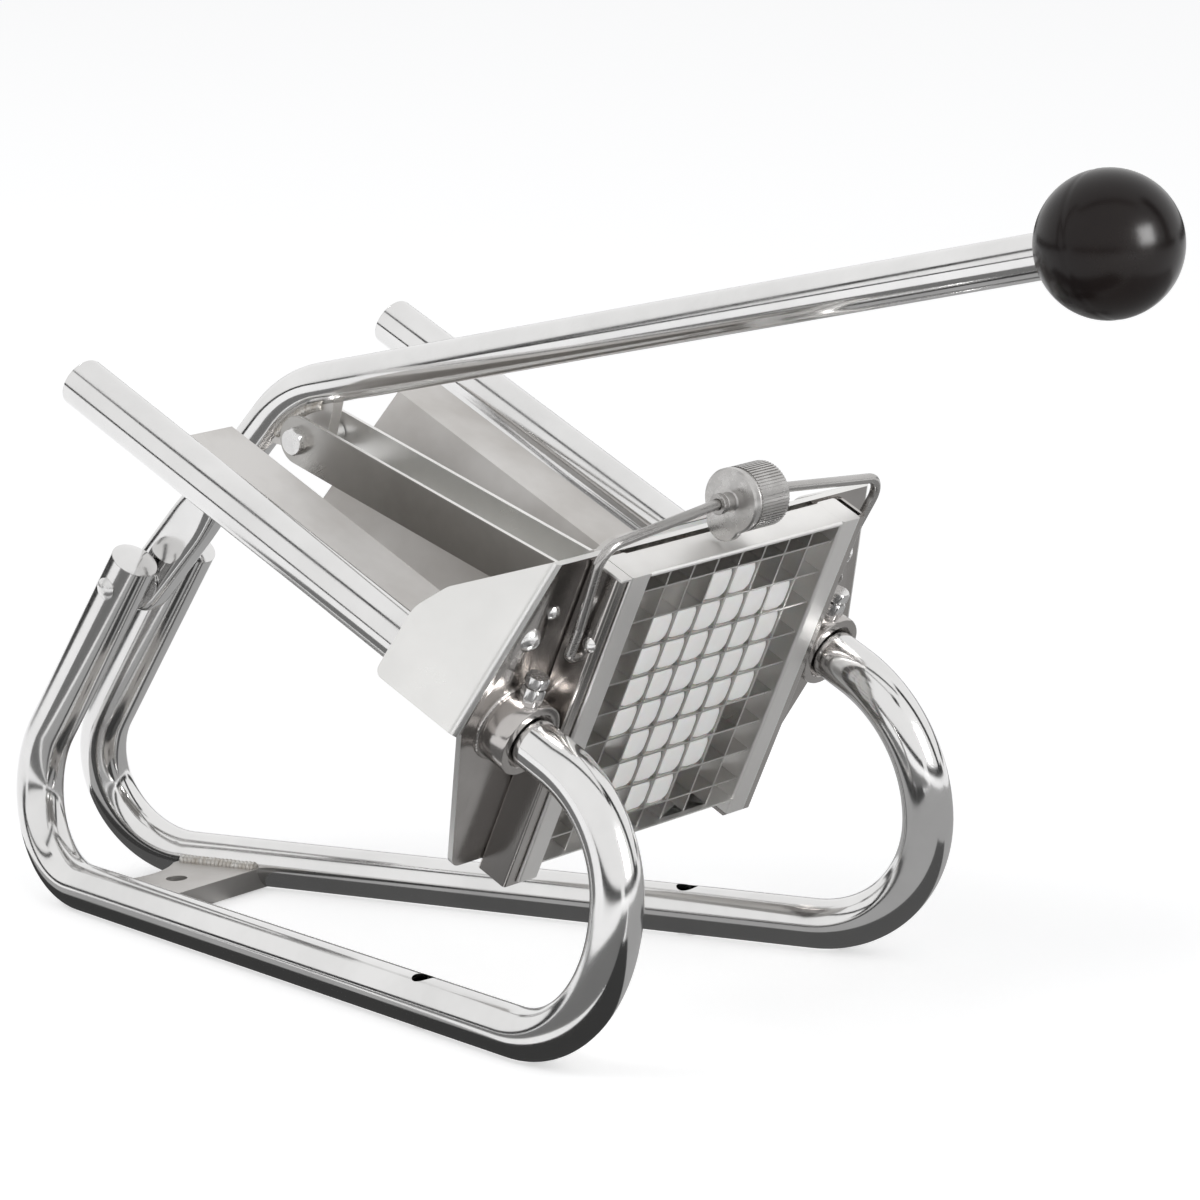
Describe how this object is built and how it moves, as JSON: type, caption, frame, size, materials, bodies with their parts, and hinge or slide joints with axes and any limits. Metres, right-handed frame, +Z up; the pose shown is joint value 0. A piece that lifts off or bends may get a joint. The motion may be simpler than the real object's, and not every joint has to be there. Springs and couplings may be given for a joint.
{
  "type": "french fry cutter",
  "caption": "Bench french fry cutter: bent tube frame, hand lever with ball, link-driven pusher sliding on two guides, and a clamped cutting grid.",
  "frame": {"origin": "on the bench, midway between the two fixing holes through the base rails", "axes": "+X forward, towards the cutting grid and the lever's ball; +Y to the left when facing +X; +Z up"},
  "size_m": [0.5805, 0.236, 0.3321],
  "materials": {
    "polished_tube": "mirror polished",
    "satin_steel": "satin",
    "polished_sheet": "polished",
    "blade_steel": "ground and polished",
    "bright_fastener": "bright plated",
    "wire_steel": "bright drawn",
    "knob_steel": "turned and knurled",
    "black_plastic": "glossy",
    "white_plastic": "smooth moulded",
    "bush_plastic": "moulded"
  },
  "bodies": {
    "frame": {"frame_tube_left": "polished_tube", "frame_tube_right": "polished_tube", "guide_end_plugs": "polished_tube", "upright_end_plugs": "polished_tube", "rear_cross_plate": "satin_steel", "front_plate": "polished_sheet", "collar_left": "polished_sheet", "collar_right": "polished_sheet", "collar_weld_nuts": "bright_fastener", "collar_set_bolts": "bright_fastener", "plate_screws": "bright_fastener", "plate_nuts": "bright_fastener", "plate_rivets": "bright_fastener", "block_holder_left": "polished_sheet", "block_holder_right": "polished_sheet", "holder_studs": "bright_fastener", "feed_tray": "satin_steel", "block_side_bar_left": "polished_sheet", "block_side_bar_right": "polished_sheet", "block_top_bar": "polished_sheet", "block_bottom_bar": "polished_sheet", "cutting_blades": "blade_steel", "cross_blades": "blade_steel", "lever_pivot_pin": "bright_fastener", "lever_pivot_washers": "satin_steel"},
    "bail": {"bail_wire": "wire_steel", "bail_wire_stops": "wire_steel"},
    "knob": {"clamp_knob": "knob_steel", "clamp_cam": "knob_steel"},
    "lever": {"lever_tube": "polished_tube", "lever_lug": "satin_steel", "lever_lug_bush": "satin_steel", "ball_knob": "black_plastic", "ball_knob_stud": "bright_fastener"},
    "link": {"link_channel": "satin_steel", "link_bolt": "bright_fastener", "link_nut": "bright_fastener", "yoke_pin": "bright_fastener", "yoke_pin_clip": "bright_fastener"},
    "carriage": {"carriage_plate": "satin_steel", "slide_housing_left": "satin_steel", "slide_housing_right": "satin_steel", "slide_bushes_left": "bush_plastic", "slide_bushes_right": "bush_plastic", "pusher_block": "white_plastic", "pusher_screws": "bright_fastener"}
  },
  "joints": [
    {"name": "lever_pivot", "type": "hinge", "parent": "frame", "child": "lever", "pos_m": [-0.21969, 0, 0.13912], "axis": [0, -1, 0], "range_deg": [0, 70]},
    {"name": "pusher_slide", "type": "slide", "parent": "frame", "child": "carriage", "axis": [-0.891, 0, 0.454], "range_m": [0, 0.13989]},
    {"name": "link_pivot", "type": "hinge", "parent": "lever", "child": "link", "pos_m": [-0.11843, 0, 0.20716], "axis": [0, -1, 0], "range_deg": [-70, 0]},
    {"name": "bail_swing", "type": "hinge", "parent": "frame", "child": "bail", "pos_m": [0.07896, 0, 0.15264], "axis": [0, 1, 0], "range_deg": [0, 100]},
    {"name": "knob_turn", "type": "hinge", "parent": "bail", "child": "knob", "pos_m": [0.10438, 0, 0.20253], "axis": [0, 1, 0], "range_deg": [0, 180]}
  ],
  "couplings": [
    {"joint": "pusher_slide", "follows": "lever_pivot", "m_per_rad": 0.1145},
    {"joint": "link_pivot", "follows": "lever_pivot", "ratio": -1}
  ]
}
